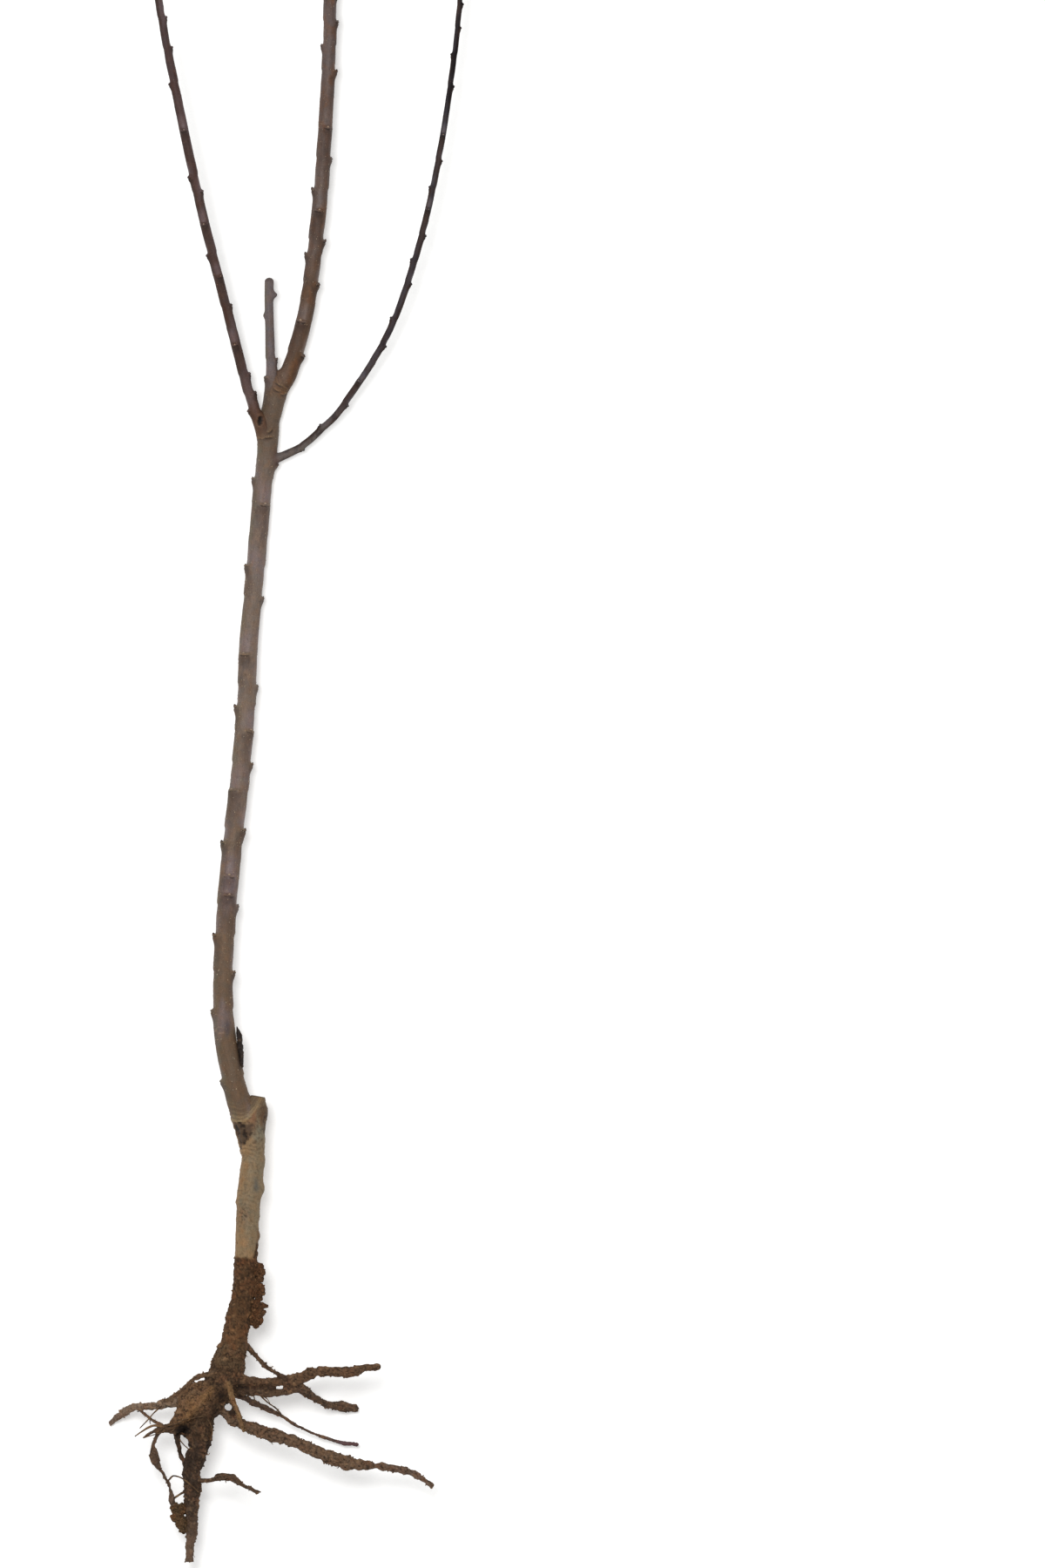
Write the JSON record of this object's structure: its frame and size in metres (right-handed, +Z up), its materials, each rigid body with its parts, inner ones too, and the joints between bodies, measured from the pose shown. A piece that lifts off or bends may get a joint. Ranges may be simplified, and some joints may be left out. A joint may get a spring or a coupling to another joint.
{
  "type": "bare-root grafted sapling",
  "caption": "Leafless bare-root sapling lying on its side, with a clear stem, a graft bend, a pruned stub, slender boughs with buds and soil-crusted roots",
  "frame": {"origin": "bottom centre of the bounding box: midway along and across the plant, on the surface that it lies on", "axes": "+Y runs up the plant from the roots to the leader's tip, +X points to the plant's right, +Z points straight up from the surface that it lies on"},
  "size_m": [0.2364, 1.2168, 0.0639],
  "materials": {
    "trunk_bark": "smooth grey-brown bark with pale lenticels",
    "leader_bark": "rusty brown bark, greyer towards the tip",
    "left_bough_bark": "reddish dark brown bark",
    "right_bough_bark": "dark purple-brown bark with a grey film",
    "dead_bark": "dry dark bark",
    "root_bark": "soil-stained root bark, dry tan at the root ends",
    "soil": "dry crumbly soil"
  },
  "bodies": {
    "root": {"trunk": "trunk_bark", "pruned_stub": "trunk_bark", "leader": "leader_bark", "left_bough": "left_bough_bark", "right_bough": "right_bough_bark", "bark_flap": "dead_bark", "root_crown": "root_bark", "tap_root": "root_bark", "forked_root": "root_bark", "middle_root": "root_bark", "upper_right_root": "root_bark", "behind_root": "root_bark", "tap_side_root": "root_bark", "left_root": "root_bark", "long_root": "root_bark", "front_root": "root_bark", "upper_left_root": "root_bark", "left_rootlets": "root_bark", "crossing_rootlet": "root_bark", "hanging_root": "root_bark", "upper_clod": "soil", "middle_clod": "soil", "lower_clod": "soil", "tap_clod": "soil"}
  },
  "joints": []
}
